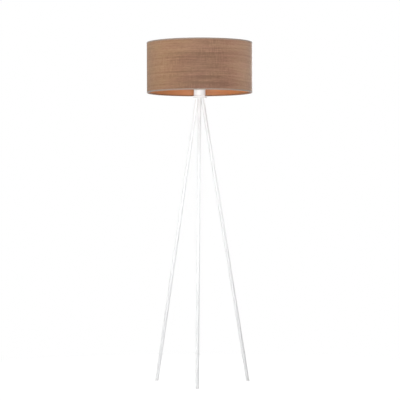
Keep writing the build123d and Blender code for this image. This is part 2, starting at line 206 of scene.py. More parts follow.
def wire(bm, corners, closed=True):
    """Draws a wire through (radius, height) corners, and rounds a corner by its third value, if any."""
    verts = [bm.verts.new((corner[0], 0.0, corner[1])) for corner in corners]
    pairs = list(zip(verts, verts[1:]))
    if closed:
        pairs.append((verts[-1], verts[0]))
    known = set(bm.edges) - {bm.edges.new(pair) for pair in pairs}
    for vert, corner in zip(verts, corners):
        if sum(corner[2:]) > 0:
            bmesh.ops.bevel(
                bm, geom=[vert], offset=corner[2], offset_type="OFFSET", segments=5, profile=0.5,
                affect="VERTICES", material=-1,
            )
    edges = [edge for edge in bm.edges if edge not in known and edge.is_wire]
    return edges + ends_of(edges)


def band(inner, outer, bottom, top, inside=0.0, outside=0.0):
    """Gives the four corners of a plain ring, with rounds for its edges inside and outside."""
    return [(inner, bottom, inside), (outer, bottom, outside), (outer, top, outside), (inner, top, inside)]


def spin_round(bm, outline, steps):
    """Spins an outline once round the upright axis, and merges its end with its start."""
    bmesh.ops.spin(
        bm, geom=outline, cent=axis_point, axis=upright, angle=tau, steps=steps, use_merge=True
    )


def close_up(bm):
    """Merges what a spin left double, and turns every face outwards."""
    bmesh.ops.remove_doubles(bm, verts=bm.verts, dist=merge_reach)
    bmesh.ops.recalc_face_normals(bm, faces=bm.faces)


def turned(corners, steps=96, closed=True):
    """Makes a bmesh of an outline that is spun once round."""
    bm = bmesh.new()
    spin_round(bm, wire(bm, corners, closed), steps)
    close_up(bm)
    return bm


def rotate(bm, verts, angle):
    """Turns points round the upright axis."""
    bmesh.ops.rotate(bm, verts=verts, cent=axis_point, matrix=Matrix.Rotation(angle, 3, "Z"))


def put_in(bm, other):
    """Puts one bmesh into another, as its own closed shell."""
    mesh = bpy.data.meshes.new("shell")
    other.to_mesh(mesh)
    other.free()
    bm.from_mesh(mesh)
    bpy.data.meshes.remove(mesh)


def finish_piece(bm, name, body, slot, node):
    """Makes a bmesh a piece: smooth, with its finish, on its body, in place of its CAD node."""
    for face in bm.faces:
        face.smooth = True
    mesh = bpy.data.meshes.new(name)
    bm.to_mesh(mesh)
    open_edges = sum(not edge.is_manifold for edge in bm.edges)
    bm.free()
    mesh.set_sharp_from_angle(angle=crease)
    mesh.materials.append(finishes[slot])
    piece = bpy.data.objects.new(name, mesh)
    scene.collection.objects.link(piece)
    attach(piece, body)
    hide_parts(node)
    print(name, "has", len(mesh.polygons), "faces and", open_edges, "open edges, for", node)


print("shape helpers ready")

# %% [markdown]
# ## White powder coat
# The legs, the hub's plate and its cup are steel under a baked white powder. Powder melts into a skin with a faint
# orange peel, about a millimetre from bump to bump, and its sheen differs a little from place to place. A plain white
# would look like paper. Slow noise in the colour and the roughness and quick noise in the relief give the satin of the
# real coat. Most finishes of the lamp are such a cloud with such a skin, so one function makes them.

# %% White powder coat


def clouded_finish(
    slot, dark, light, cloud, gloss=None, skin=None, depth=0.0, stops=(0.35, 0.65), place=object_place,
    gloss_follows="cloud", **sockets
):
    """Makes a finish that drifts from dark to light, and from one roughness of its gloss to the other.

    Cloud and skin are noise: grains per metre, detail and roughness. The skin is a relief of a depth."""
    tree, shader = start_finish(slot, **sockets)
    spot = place(tree)
    noise = {"cloud": grains(spot, *cloud)}
    if skin:
        noise["skin"] = grains(spot, *skin)
        relief(shader, noise["skin"], depth)
    paint(shader, Base_Color=tint(noise["cloud"], (stops[0], dark), (stops[1], light)))
    if gloss:
        paint(shader, Roughness=spread(noise[gloss_follows], *gloss))
    print("finish made for the slot", slot)


clouded_finish(
    "white_enamel", dark=(0.865, 0.87, 0.875), light=(0.885, 0.89, 0.895), cloud=(16, 3), gloss=(0.34, 0.46),
    skin=(750,), depth=0.018 * mm, Specular_IOR_Level=0.4,
)

# %% [markdown]
# ## Legs
# Each leg is a straight steel tube that leans out from the hub. The saw cuts its top level, so that it meets the plate
# flat, and its lower end square, for the foot glide. A CAD tube has flat facets; here the outline of the wall is spun
# in 56 steps along the leg's own line. The upper rim is then slid along the tube until it lies in the plate's plane,
# which is what a mitre saw does.

# %% Legs
leg_circle = 14.1 * mm
leg_radius = 8.0 * mm
leg_wall = 1.2 * mm
leg_steps = 56
glide_length = 18.0 * mm
cut_round = 0.35 * mm
hair = 1e-6


def leg_line(foot):
    """Gives the matrix that stands a piece on a leg: its origin at the leg's top, its +Z down the leg."""
    outward = Vector((foot.x, foot.y, 0)).normalized()
    top = outward * leg_circle + Vector((0, 0, plate_bottom))
    down = (foot - top).normalized()
    side = Vector(upright).cross(outward)
    turn_down = Matrix((side, down.cross(side), down)).transposed().to_4x4()
    return Matrix.Translation(top) @ turn_down, down, (foot - top).length


def slide_level(verts, along, height):
    """Slides points along a direction until they lie at one height, as a level saw cut does."""
    for vert in verts:
        vert.co += along * ((height - vert.co.z) / along.z)


for side, foot in foot_points.items():
    stand_up, down, reach = leg_line(foot)
    tube_end = reach - glide_length
    bm = turned([
        (leg_radius - leg_wall, 0.0),
        (leg_radius, 0.0),
        (leg_radius, tube_end, cut_round),
        (leg_radius - leg_wall, tube_end, cut_round),
    ], leg_steps)
    top_rim = [vert for vert in bm.verts if vert.co.z < hair]
    bmesh.ops.transform(bm, matrix=stand_up, verts=bm.verts)
    slide_level(top_rim, down, plate_bottom)
    bm.normal_update()
    finish_piece(bm, side + "_leg", "stand", "white_enamel", "leg_tube_" + side)

# %% [markdown]
# ## Hub cup
# The cup that hides the lamp holder is drawn from a steel disc. Its foot is narrower than its wall, which leaves a thin
# shadow gap over the plate, and the press has rounded its rim. One closed outline gives it, base hole and wall thickness
# included, and the outline's inner half repeats the outer one at the thickness of the sheet.

# %% Hub cup
cup_radius, cup_bottom, cup_top = round_box("holder_cup")
cup_wall = 1.2 * mm
cup_hole = 5.3 * mm
foot_radius = cup_radius - 12.0 * mm
foot_top = cup_bottom + 3.0 * mm
foot_round = 0.4 * mm
base_round = 1.5 * mm
rim_round = 0.5 * mm
bm = turned([
    (cup_hole, cup_bottom),
    (foot_radius, cup_bottom, foot_round),
    (foot_radius, foot_top, foot_round),
    (cup_radius, foot_top, base_round),
    (cup_radius, cup_top, rim_round),
    (cup_radius - cup_wall, cup_top, rim_round),
    (cup_radius - cup_wall, foot_top + cup_wall, base_round - cup_wall),
    (foot_radius - cup_wall, foot_top + cup_wall, foot_round),
    (foot_radius - cup_wall, cup_bottom + cup_wall, foot_round),
    (cup_hole, cup_bottom + cup_wall),
])
finish_piece(bm, "hub_cup", "stand", "white_enamel", "holder_cup")

# %% [markdown]
# ## Pale grey plastic
# The foot glides are injection moulded in a very pale grey polythene, nearly as light as the legs, that doesn't mark
# floors. Its skin is matt, with a very fine spark-eroded grain from the mould, and it scuffs to a slightly lighter grey.
# The scuffs are the cloud, and the grain is the skin.

# %% Pale grey plastic
clouded_finish(
    "grey_plastic", dark=(0.86, 0.86, 0.855), light=(0.9, 0.9, 0.895), stops=(0.3, 0.7),
    cloud=((160, 160, 90), 4, 0.6), gloss=(0.48, 0.66), skin=(2600, 1), depth=0.01 * mm,
)

# %% [markdown]
# ## Foot glides
# A glide plugs the end of its tube. The plug has four soft ribs that grip the bore, and a narrow groove under the tube
# hides small errors of the cut. The sole is moulded level, so that the leaning leg stands flat on the floor. The
# outline is spun along the leg's line, and its last rim is slid down to the floor as the tube's rim was slid up.

# %% Foot glides
plug_length = 20.0 * mm
plug_radius = 6.2 * mm
rib_radius = 6.7 * mm
rib_count = 4
rib_pitch = plug_length / rib_count
rib_crest = 0.6 * rib_pitch
groove_radius = leg_radius - 0.35 * mm
groove_width = 0.7 * mm
groove_round = 0.15 * mm
sole_round = 1.0 * mm
sole_edge = radians(40)

for side, foot in foot_points.items():
    stand_up, down, reach = leg_line(foot)
    tube_end = reach - glide_length
    outline = [(0.0, tube_end - plug_length)]
    for rib in range(rib_count):
        rib_start = tube_end - plug_length + rib * rib_pitch
        outline.append((plug_radius, rib_start))
        outline.append((rib_radius, rib_start + rib_crest))
    outline += [
        (plug_radius, tube_end),
        (groove_radius, tube_end),
        (groove_radius, tube_end + groove_width),
        (leg_radius, tube_end + groove_width, groove_round),
        (leg_radius, reach),
        (0.0, reach),
    ]
    bm = turned(outline, leg_steps, closed=False)
    sole = [vert for vert in bm.verts if vert.co.z > reach - hair]
    bmesh.ops.transform(bm, matrix=stand_up, verts=bm.verts)
    slide_level(sole, down, 0.0)
    sole_rim = [
        edge for edge in bm.edges
        if all(abs(vert.co.z) < hair for vert in edge.verts) and edge.calc_face_angle(0.0) > sole_edge
    ]
    bmesh.ops.bevel(
        bm, geom=sole_rim, offset=sole_round, offset_type="OFFSET", segments=4, profile=0.5,
        affect="EDGES", material=-1,
    )
    close_up(bm)
    finish_piece(bm, side + "_glide", "stand", "grey_plastic", "foot_glide_" + side)

# %% [markdown]
# ## White plastic
# The cable bush, the lamp holder, its two rings and the bulb's lower body are moulded in a warm white plastic. It is
# matter than the powder coat, its mould grain is finer than the coat's peel, and it has yellowed by a hair where the
# lamp's heat reaches it.

# %% White plastic
clouded_finish(
    "white_plastic", dark=(0.86, 0.855, 0.83), light=(0.9, 0.9, 0.885), cloud=(60, 3), gloss=(0.44, 0.58),
    skin=(3000, 1), depth=0.008 * mm,
)

# %% [markdown]
# ## Threads
# A screw thread is a toothed line that climbs by one pitch as it goes once round. Spin does just that when it is also
# given a step along the axis. The teeth run past both ends, two level cuts trim them, and the flat ends are filled
# against the plain rest of the piece. The winding is made near the origin and then lifted, because small steps lose
# their last digits far from it.

# %% Threads
seam_reach = 0.01 * mm
cut_reach = 1e-6 * mm
level_reach = 0.005 * mm
wave_points = 12


def wind_thread(bm, root, crest, pitch, bottom, top, tooth, steps=64):
    """Winds teeth round the axis from bottom to top; tooth is (share of pitch, share of depth) points."""
    height = top - bottom
    verts = []
    level = -2.0 * pitch
    while level < height + 2.0 * pitch:
        for along, deep in tooth:
            verts.append(bm.verts.new((root + (crest - root) * deep, 0.0, level + along * pitch)))
        level += pitch
    edges = [bm.edges.new(pair) for pair in zip(verts, verts[1:])]
    climb = Vector((0, 0, pitch / steps))
    bmesh.ops.spin(
        bm, geom=verts + edges, cent=axis_point, axis=upright, dvec=climb, angle=tau, steps=steps
    )
    bmesh.ops.remove_doubles(bm, verts=bm.verts, dist=seam_reach)
    for cut, outward in ((0.0, -1), (height, 1)):
        everything = bm.verts[:] + bm.edges[:] + bm.faces[:]
        bmesh.ops.bisect_plane(
            bm, geom=everything, dist=cut_reach, plane_co=(0, 0, cut), plane_no=(0, 0, outward),
            clear_outer=True,
        )
    bmesh.ops.translate(bm, verts=bm.verts, vec=(0, 0, bottom))


def fill_level(bm, height):
    """Fills the flat ring between the open edges at one height."""
    rims = [
        edge for edge in bm.edges
        if edge.is_boundary and all(abs(vert.co.z - height) < level_reach for vert in edge.verts)
    ]
    bmesh.ops.triangle_fill(bm, edges=rims, use_beauty=True, normal=upright)


def threaded(outlines, root, crest, pitch, bottom, top, tooth, steps=64):
    """Makes a threaded piece: the outlines run from the thread's ends and close the rest of it."""
    bm = bmesh.new()
    wind_thread(bm, root, crest, pitch, bottom, top, tooth, steps)
    for corners in outlines:
        spin_round(bm, wire(bm, corners, closed=False), steps)
    bmesh.ops.remove_doubles(bm, verts=bm.verts, dist=merge_reach)
    fill_level(bm, bottom)
    fill_level(bm, top)
    close_up(bm)
    return bm


sharp_tooth = ((0.0, 0.0), (0.2, 0.0), (0.5, 1.0), (0.7, 1.0))
wave = [step / wave_points for step in range(wave_points)]
rolled_tooth = [(share, 0.5 - 0.5 * cos(tau * share)) for share in wave]
print("thread helpers ready")

# %% [markdown]
# ## Lamp holder sleeve
# The sleeve screws down over the holder's ceramic block, and its outside is threaded for the two rings that clamp the
# shade. Its skirt is plain. The thread has a coarse, flat-topped tooth, so that a plastic ring runs on it easily. The
# inside is one smooth bore with a narrower mouth.

# %% Lamp holder sleeve
skirt_radius, sleeve_bottom, sleeve_top = round_box("holder_sleeve")
sleeve_thread = 19.75 * mm
sleeve_root = 19.15 * mm
sleeve_pitch = 2.0 * mm
sleeve_neck = sleeve_root - 0.1 * mm
sleeve_bore = 16.5 * mm
mouth_radius = 15.0 * mm
mouth_bottom = sleeve_top - 1.5 * mm
thread_top = sleeve_top - 0.9 * mm
seat_radius = skirt_radius - 2.8 * mm
seat_top = sleeve_bottom + 5.2 * mm
skirt_top = sleeve_bottom + 19.8 * mm
shoulder = sleeve_thread + 0.2 * mm
edge_round = 0.4 * mm
shoulder_round = 0.5 * mm
bm = threaded([[
    (sleeve_neck, thread_top),
    (sleeve_neck, sleeve_top, shoulder_round),
    (mouth_radius, sleeve_top, edge_round),
    (mouth_radius, mouth_bottom),
    (sleeve_bore, mouth_bottom),
    (sleeve_bore, seat_top),
    (seat_radius, seat_top),
    (seat_radius, sleeve_bottom),
    (skirt_radius, sleeve_bottom, edge_round),
    (skirt_radius, skirt_top, shoulder_round),
    (shoulder, skirt_top),
]], sleeve_root, sleeve_thread, sleeve_pitch, skirt_top, thread_top, sharp_tooth, steps=80)
finish_piece(bm, "holder_thread_sleeve", "stand", "white_plastic", "holder_sleeve")

# %% [markdown]
# ## Shade rings
# Two rings hold the shade's carrier between them. Their edges have 24 finger flutes. A plain ring with rounded edges is
# spun first, in ten steps for each flute. Then every point near its edge moves inwards by a cosine of its angle, which
# is quicker than cutting 24 grooves and leaves clean strips of faces.

# %% Shade rings
flutes = 24
flute_steps = 10
flute_depth = 1.0 * mm
ring_round = 0.8 * mm
flute_zone = 1.5 * ring_round
ring_bore = sleeve_root + 0.2 * mm
bore_round = 0.2 * mm

for level in ("lower", "upper"):
    ring_radius, ring_bottom, ring_top = round_box(level + "_shade_ring")
    outline = band(ring_bore, ring_radius, ring_bottom, ring_top, bore_round, ring_round)
    bm = turned(outline, flutes * flute_steps)
    for vert in bm.verts:
        reach = vert.co.xy.length
        if reach > ring_radius - flute_zone:
            dip = flute_depth * max(0.0, cos(flutes * atan2(vert.co.y, vert.co.x))) ** 2
            vert.co.xy *= (reach - dip) / reach
    bm.normal_update()
    finish_piece(bm, level + "_fluted_ring", "stand", "white_plastic", level + "_shade_ring")

# %% [markdown]
# ## Cable bush
# A small moulded bush lines the lower end of the threaded tube, so that its edge can't cut a cable. It has a round lip
# under the hub and a smooth bore.

# %% Cable bush
lip_radius, bush_bottom, bush_top = round_box("cable_bush")
lip_round = 0.7 * mm
stem_radius = 4.0 * mm
stem_round = 0.2 * mm
bush_bore = 3.2 * mm
inlet_round = 0.6 * mm
bm = turned([
    (bush_bore, bush_bottom, inlet_round),
    (lip_radius, bush_bottom, lip_round),
    (lip_radius, plate_bottom),
    (stem_radius, plate_bottom),
    (stem_radius, bush_top, stem_round),
    (bush_bore, bush_top, stem_round),
], steps=48)
finish_piece(bm, "cable_inlet_bush", "stand", "white_plastic", "cable_bush")

# %% [markdown]
# ## Brass
# The socket's shell, its contacts and the bulb's tip are plain brass. Brass darkens in spots as it ages, so slow noise
# takes the colour from yellow towards brown and makes those places less shiny.

# %% Brass
clouded_finish(
    "brass", dark=(0.55, 0.4, 0.17), light=(0.78, 0.6, 0.3), cloud=(220, 5, 0.6), gloss=(0.42, 0.24),
    Metallic=1.0,
)

# %% [markdown]
# ## Screw shell
# The shell that takes the bulb is a thin brass strip with the bulb's round thread rolled into it. The rolled tooth is a
# wave, and a solidify step gives the sheet its thickness. Its normals are set first, because the thickness grows along
# them.

# %% Screw shell
shell_radius, shell_bottom, shell_top = round_box("screw_shell")
shell_root = shell_radius - 0.9 * mm
shell_crest = shell_radius - 0.05 * mm
shell_sheet = 0.35 * mm
bulb_pitch = 3.629 * mm
bm = bmesh.new()
wind_thread(bm, shell_root, shell_crest, bulb_pitch, shell_bottom, shell_top, rolled_tooth)
close_up(bm)
bmesh.ops.solidify(bm, geom=bm.faces[:], thickness=shell_sheet)
close_up(bm)
finish_piece(bm, "rolled_screw_shell", "stand", "brass", "screw_shell")

# %% [markdown]
# ## Nickel
# The bulb's screw cap is thin sheet with a bright nickel plate. Rolling leaves fine lines round it, which a noise that
# is long round the axis and short along it can draw. They show as a soft streak in the reflections, so here the gloss
# follows the skin.

# %% Nickel
clouded_finish(
    "nickel", dark=(0.66, 0.65, 0.61), light=(0.76, 0.75, 0.72), cloud=(120, 3), gloss=(0.2, 0.36),
    gloss_follows="skin", skin=((40, 40, 2600),), depth=0.006 * mm, Metallic=1.0,
)

# %% [markdown]
# ## Bulb cap
# The cap carries the same rolled thread as the shell, a little smaller, between a plain collar at the top and a cone at
# the bottom that holds the glass insulator. The thread is wound first, and the rest of the outline closes it.

# %% Bulb cap
cap_radius, cap_bottom, cap_top = round_box("bulb_cap")
cap_root = cap_radius - 1.2 * mm
cap_neck = cap_root - 0.2 * mm
cap_inside = cap_root - 0.8 * mm
cap_tip = cap_root - 1.6 * mm
tip_inside = cap_inside - 1.2 * mm
tip_round = 0.5 * mm
collar_radius = cap_radius - 0.1 * mm
collar_round = 0.3 * mm
winding_bottom = cap_bottom + 2.2 * mm
winding_top = cap_top - 3.2 * mm
neck_top = winding_top + 0.8 * mm
collar_bottom = winding_top + 1.6 * mm
cone_top = cap_bottom + 1.0 * mm
cone_bottom = cap_bottom + 0.5 * mm
bm = threaded([[
    (cap_neck, winding_top),
    (cap_neck, neck_top, collar_round),
    (collar_radius, collar_bottom, collar_round),
    (collar_radius, cap_top),
    (cap_inside, cap_top),
    (cap_inside, cone_top),
    (tip_inside, cone_bottom),
    (tip_inside, cap_bottom),
    (cap_tip, cap_bottom, tip_round),
    (cap_neck, winding_bottom),
]], cap_root, cap_radius, bulb_pitch, winding_bottom, winding_top, rolled_tooth)
finish_piece(bm, "bulb_screw_cap", "bulb", "nickel", "bulb_cap")

# %% [markdown]
# ## Bulb body
# The bulb's plastic body opens in a soft bell from the cap to the globe, and holds its electronics. One Bezier curve in
# the outline gives the bell its easy start and end, and its edge is chamfered where the globe snaps on.

# %% Bulb body
bell_radius, bell_bottom, bell_top = round_box("bulb_housing")
bell_height = bell_top - bell_bottom
bell_flare = cap_radius + 1.0 * mm
bell_bend = bell_bottom + 0.45 * bell_height
bell_ease = bell_bottom + 0.55 * bell_height
bell_edge = bell_top - 0.6 * mm
bell_chamfer = 0.5 * mm
bell_points = 20
bell = interpolate_bezier(
    Vector((cap_radius, bell_bottom, 0)),
    Vector((bell_flare, bell_bend, 0)),
    Vector((bell_radius, bell_ease, 0)),
    Vector((bell_radius, bell_edge, 0)),
    bell_points,
)
outline = [(0.0, bell_bottom)]
outline += [(point.x, point.y) for point in bell]
outline += [(bell_radius - bell_chamfer, bell_top), (0.0, bell_top)]
bm = turned(outline, closed=False)
finish_piece(bm, "bulb_bell", "bulb", "white_plastic", "bulb_housing")

# %% [markdown]
# ## Opal
# The globe is opal plastic: light goes in, scatters and comes out near by, so it glows softly even when the bulb is off.
# Subsurface scattering does that. The flow of the melt leaves very faint clouds in it.

# %% Opal
clouded_finish(
    "opal_globe", dark=(0.9, 0.895, 0.87), light=(0.93, 0.93, 0.915), cloud=((50, 50, 25), 3),
    gloss=(0.36, 0.48),
    Subsurface_Weight=0.35, Subsurface_Radius=(1.0, 0.9, 0.75), Subsurface_Scale=6.0 * mm,
)

# %% [markdown]
# ## Bulb globe
# The globe is a thin blown dome that is a little more than half a ball. Its outline is an arc outside and a smaller arc
# inside, both worked out from the ball's radius, and it snaps over the rim of the bell.

# %% Bulb globe
globe_radius, globe_bottom, globe_top = round_box("bulb_globe")
globe_wall = 1.2 * mm
globe_centre = globe_top - globe_radius
skirt_points = 10
skirt_pull = 6.0 * mm
skirt_flare = bell_radius + 0.9 * mm
dome_steps = 28
skirt = interpolate_bezier(
    Vector((bell_radius, globe_bottom, 0)),
    Vector((skirt_flare, globe_bottom + skirt_pull, 0)),
    Vector((globe_radius, globe_centre - skirt_pull, 0)),
    Vector((globe_radius, globe_centre, 0)),
    skirt_points,
)
dome = [step * pi / 2 / dome_steps for step in range(1, dome_steps + 1)]


def globe_side(wall):
    """Gives one side of the globe, from its edge to its top, at a depth in its wall."""
    radius = globe_radius - wall
    side = [(point.x - wall, point.y) for point in skirt]
    side += [(radius * cos(angle), globe_centre + radius * sin(angle)) for angle in dome]
    side[-1] = (0.0, globe_top - wall)
    return side


bm = turned(globe_side(globe_wall)[::-1] + globe_side(0.0), closed=False)
finish_piece(bm, "bulb_opal_globe", "bulb", "opal_globe", "bulb_globe")

# %% [markdown]
# ## Grain of the veneer
# The shade's skin is one leaf of brown veneer, bent with its grain level. Six sizes of figure make a leaf: broad bands,
# the tree's years, streaks a few millimetres high, a short mottle, hair-fine fibres, and dark pores. Across them run
# faint upright flecks where the fibres lean. Each is noise that is stretched along the grain by its own amount. The pattern
# follows the sheet's own UV map, laid out in metres along the leaf and up it, so the grain goes round the drum without a
# break up to the seam.

# %% Grain of the veneer


def leaf_place(tree):
    """Gives the place on an unrolled sheet, in metres, from its own UV map."""
    return add_node(tree, "UVMap", {}, uv_map="leaf").outputs["UV"]


def slide_place(place, axis, amount):
    """Slides a place along X or Y by a drawn amount."""
    tree = place.id_data
    step = add_node(tree, "CombineXYZ", {axis: amount}).outputs["Vector"]
    return add_node(tree, "VectorMath", {0: place, 1: step}, operation="ADD").outputs["Vector"]


wander = 4.0 * mm
fray = 45.0 * mm
tree, shader = start_finish("veneer", Specular_IOR_Level=0.4)
flat = leaf_place(tree)
grain = slide_place(flat, "Y", spread(grains(flat, (1.6, 4, 1)), -wander, wander))
bands = grains(grain, (1.2, 26, 1))
years = grains(grain, (3, 70, 1))
streaks = grains(grain, (8, 140, 1), 4, 0.55)
mottle = grains(grain, (52, 170, 1), 3, 0.6)
fibres = grains(grain, (40, 1500, 1))
pores = spread(grains(grain, (110, 2400, 1), 1), 0.0, 1.0, 0.62, 0.74)
fleck_zone = spread(grains(flat, (6, 9, 1), 1), 0.0, 1.0, 0.4, 0.6)
hairs = spread(grains(flat, (240, 26, 1)), -0.5, 0.5)
flecks = join("MULTIPLY", hairs, fleck_zone)
ragged = slide_place(grain, "X", spread(streaks, -fray, fray))
print("grain of the veneer drawn with", len(tree.nodes), "nodes")

# %% [markdown]
# ## Colour of the veneer
# The sizes of figure add up to one tone. Soft patches with frayed ends make some stretches of the leaf lighter or
# darker.
# Some of them are painted light and shade: the front middle of the drum darker, its bottom at the front darker, and
# both flanks lighter, the right one more. The tone runs through a scale of browns, and the hue drifts a little along
# the leaf.
# Across the drum the blue rises towards the right flank, a painted sheen. Fibres and pores are also the relief.

# %% Colour of the veneer


def soft_patch(place, spot, half_size):
    """Gives a soft patch: 1 at its spot on the leaf, and 0 beyond its half sizes, all in metres."""
    scale = (1.0 / half_size[0], 1.0 / half_size[1], 1.0)
    start = (-spot[0] / half_size[0], -spot[1] / half_size[1], 0.0)
    tree = place.id_data
    near = add_node(tree, "Mapping", {"Vector": place, "Scale": scale, "Location": start})
    ball = {"Vector": near.outputs["Vector"]}
    nearness = add_node(tree, "TexGradient", ball, gradient_type="SPHERICAL").outputs["Fac"]
    return spread(nearness, 0.0, 1.0, 0.0, 1.0)


def add_up(start, *parts):
    """Adds weighted amounts to a start value."""
    total = start
    for amount, weight in parts:
        node = add_node(amount.id_data, "Math", {0: amount, 1: weight, 2: total}, operation="MULTIPLY_ADD")
        total = node.outputs["Value"]
    return total


tone = add_up(
    -0.17,
    (bands, 0.14), (years, 0.3), (streaks, 0.36), (mottle, 0.34),
    (fibres, 0.24), (pores, -0.2), (flecks, 0.12),
    # painted shade: the front middle of the drum darker than its flanks
    (soft_patch(grain, (0.035, 1.49), (0.24, 0.3)), -0.21),
    # long bands
    (soft_patch(ragged, (0.0, 1.422), (0.6, 0.05)), -0.07),
    (soft_patch(ragged, (0.05, 1.537), (0.6, 0.028)), -0.045),
    (soft_patch(ragged, (0.0, 1.588), (0.7, 0.05)), 0.06),
    # short smudges; the one at (0.08, 1.39) is painted shade, the bottom of the drum darker at the front
    (soft_patch(ragged, (-0.24, 1.452), (0.12, 0.02)), 0.06),
    (soft_patch(ragged, (0.042, 1.543), (0.05, 0.022)), -0.08),
    (soft_patch(ragged, (0.034, 1.429), (0.09, 0.014)), -0.05),
    (soft_patch(ragged, (0.15, 1.402), (0.06, 0.02)), -0.06),
    (soft_patch(ragged, (0.08, 1.39), (0.32, 0.034)), -0.12),
    (soft_patch(ragged, (0.235, 1.46), (0.08, 0.028)), 0.07),
    # painted light: both flanks of the drum lighter, the right one more
    (soft_patch(grain, (0.32, 1.5), (0.2, 0.4)), 0.22),
    (soft_patch(grain, (-0.3, 1.5), (0.22, 0.4)), 0.07),
)
brown = tint(
    tone,
    (0.2, (0.175, 0.088, 0.053)),
    (0.45, (0.285, 0.158, 0.095)),
    (0.6, (0.35, 0.203, 0.124)),
    (0.85, (0.46, 0.28, 0.172)),
)
side = add_node(tree, "SeparateXYZ", {"Vector": object_place(tree)}).outputs["X"]
# painted sheen: the blue rises across the drum from left to right, so the right flank looks greyer
painted_flank_sheen = spread(side, 0.9, 1.03, -shade_radius, shade_radius)
blush = spread(grains(flat, (9, 30, 1)), 0.96, 1.015)
parts = add_node(tree, "SeparateColor", {"Color": brown}).outputs
green = join("MULTIPLY", parts["Green"], blush)
blue = join("MULTIPLY", parts["Blue"], painted_flank_sheen)
leaf = add_node(tree, "CombineColor", {"Red": parts["Red"], "Green": green, "Blue": blue})
leaf_gloss = spread(tone, 0.7, 0.54, 0.2, 0.85)
paint(shader, Base_Color=leaf.outputs["Color"], Roughness=leaf_gloss)
relief(shader, join("SUBTRACT", fibres, pores), 0.05 * mm)
print("finish made for the slot veneer")

# %% [markdown]
# ## Shade skin
# The drum is a sheet 0.6 mm thick. Its wall is an outline of four corners, spun in 192 steps, and then laid flat in a UV
# map: along the rim in metres from the front, and up in metres. At the back the leaf's end laps over its start by 10 mm,
# so a second strip lies on the first, with its own bit of grain.

# %% Shade skin
sheet_thick = 0.6 * mm
sheet_round = 0.1 * mm
lap_width = 10.0 * mm
lap_round = 0.15 * mm
lap_sink = 0.1 * mm
proud_reach = 0.05 * mm
lap_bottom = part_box("bottom_binding")[1].z + 0.1 * mm
lap_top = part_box("top_binding")[0].z - 0.1 * mm
shade_steps = 192


def lap_over(bm, corners, angle, steps):
    """Spins an outline through an angle at the back, fills its two ends, and puts it in as a closed shell."""
    strip = bmesh.new()
    outline = wire(strip, corners)
    rotate(strip, verts_of(outline), pi / 2 - angle / 2)
    made = bmesh.ops.spin(strip, geom=outline, cent=axis_point, axis=upright, angle=angle, steps=steps)
    bmesh.ops.contextual_create(strip, geom=edges_of(outline))
    bmesh.ops.contextual_create(strip, geom=edges_of(made["geom_last"]))
    close_up(strip)
    put_in(bm, strip)


def lay_flat(bm, radius):
    """Unrolls every face into a UV map: metres round the drum from the front, and metres up.

    What stands proud of the drum, at its back, runs on past the seam."""
    layer = bm.loops.layers.uv.new("leaf")
    for face in bm.faces:
        middle = face.calc_center_median()
        front = atan2(middle.x, -middle.y)
        if front < 0 and middle.xy.length > radius + proud_reach:
            front += tau
        for loop in face.loops:
            spot = loop.vert.co
            angle = (atan2(spot.x, -spot.y) - front + pi) % tau - pi + front
            loop[layer].uv = (angle * radius, spot.z)


wall = band(shade_radius - sheet_thick, shade_radius, shade_bottom, shade_top, outside=sheet_round)
bm = turned(wall, shade_steps)
lap = band(shade_radius - lap_sink, shade_radius + sheet_thick, lap_bottom, lap_top, outside=lap_round)
lap_over(bm, lap, lap_width / shade_radius, steps=6)
lay_flat(bm, shade_radius)
finish_piece(bm, "veneer_drum", "shade", "veneer", "shade_veneer")

# %% [markdown]
# ## Amber lining
# Inside the veneer is a thin plastic film that stiffens it. Seen from below it is a warm orange brown, because light
# passes through the film, meets the back of the wood and comes out again. Subsurface scattering stands for that short
# trip. A fine level grain shows through from the wood.

# %% Amber lining
clouded_finish(
    "amber_lining", dark=(0.42, 0.158, 0.06), light=(0.49, 0.197, 0.08), stops=(0.3, 0.7), place=leaf_place,
    cloud=((6, 110, 1), 4, 0.6), gloss=(0.4, 0.52), skin=((500, 500, 1), 1), depth=0.01 * mm,
    Subsurface_Weight=0.2, Subsurface_Radius=(1.0, 0.45, 0.2), Subsurface_Scale=3.0 * mm,
)

# %% [markdown]
# ## Lining film
# The film is a second drum, just inside the first. It is spun in as many steps, so that the two walls stay parallel all
# the way round, and it gets the same kind of UV map.

# %% Lining film
film_radius, film_bottom, film_top = round_box("shade_lining")
film_thick = 0.5 * mm
bm = turned(band(film_radius - film_thick, film_radius, film_bottom, film_top), shade_steps)
lay_flat(bm, film_radius)
finish_piece(bm, "lining_film", "shade", "amber_lining", "shade_lining")

# %% [markdown]
# ## Edge tape
# Both rims are bound with a narrow woven tape, folded over the wire and the sheet's edge. It is greyish beige outside.
# Inside it has the lining's brown, darkened as painted shade in the fold; the distance from the lamp's axis tells the
# two sides apart. The weave is two sets of threads that cross: one wave along the tape times one wave across it, at the
# pitch of real threads, with noise for uneven yarn.

# %% Edge tape
thread_pitch = 0.9 * mm
weave_share = 0.25
weave_depth = 0.12 * mm
brown_until = shade_radius - 2.5 * mm
beige_from = shade_radius - 1.5 * mm
tree, shader = start_finish(
    "binding_tape", Roughness=0.8, Sheen_Weight=0.25, Sheen_Roughness=0.5, Specular_IOR_Level=0.25
)
flat = leaf_place(tree)
parts = add_node(tree, "SeparateXYZ", {"Vector": flat}).outputs
warp = join("SINE", join("MULTIPLY", parts["X"], tau / thread_pitch), 0.0)
weft = join("SINE", join("MULTIPLY", parts["Y"], tau / thread_pitch), 0.0)
weave = join("MULTIPLY", warp, weft)
yarn = grains(flat, (90, 900, 1), 3, 0.6)
height = join("ADD", join("MULTIPLY", weave, weave_share), yarn)
outer_cloth = tint(height, (0.25, (0.238, 0.181, 0.146)), (0.75, (0.366, 0.287, 0.234)))
